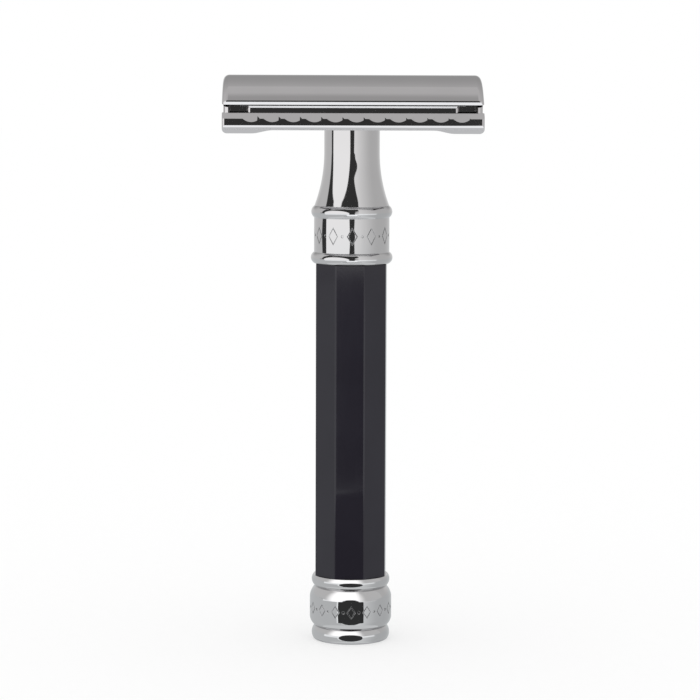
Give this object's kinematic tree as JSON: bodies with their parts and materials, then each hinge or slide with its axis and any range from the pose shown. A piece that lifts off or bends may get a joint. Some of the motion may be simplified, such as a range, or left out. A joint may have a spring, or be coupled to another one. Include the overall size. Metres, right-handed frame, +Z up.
{
  "type": "safety razor",
  "caption": "Double-edge safety razor with a domed cap, scalloped guard bars, flared neck and octagonal black grip, standing on a round pommel.",
  "frame": {"origin": "middle of the flat underside of the pommel's foot", "axes": "+Z up along the handle, +X along the length of the head, -Y towards the front guard bar"},
  "size_m": [0.0434, 0.0252, 0.0964],
  "materials": {
    "head_chrome": "bright chrome plate on cast metal",
    "handle_chrome": "polished chrome plate",
    "blade_steel": "ground stainless steel",
    "screw_steel": "plated steel",
    "black_resin": "polished black resin",
    "nylon": "natural nylon"
  },
  "bodies": {
    "handle": {"pommel_foot": "handle_chrome", "pommel": "handle_chrome", "lock_washer": "screw_steel", "clamp_nut": "screw_steel", "tie_rod": "screw_steel", "lower_washer": "nylon", "upper_washer": "nylon", "grip": "black_resin", "collar": "handle_chrome", "neck": "handle_chrome"},
    "head_plate": {"base_plate": "head_chrome"},
    "head_blade": {"blade": "blade_steel"},
    "head_cap": {"cap": "head_chrome", "cap_stud": "screw_steel"}
  },
  "joints": [
    {"name": "head_turn", "type": "hinge", "parent": "handle", "child": "head_plate", "pos_m": [0, 0, 0.0879], "axis": [0, 0, 1], "range_deg": [0, 5760]},
    {"name": "cap_rise", "type": "slide", "parent": "head_plate", "child": "head_cap", "axis": [0, 0, 1], "range_m": [0, 0.0128]},
    {"name": "blade_lift", "type": "slide", "parent": "head_plate", "child": "head_blade", "axis": [0, 0, 1], "range_m": [0, 0.0064]}
  ],
  "couplings": [
    {"joint": "cap_rise", "follows": "head_turn", "m_per_rad": 0.00012732},
    {"joint": "blade_lift", "follows": "head_turn", "m_per_rad": 0.000063662}
  ]
}
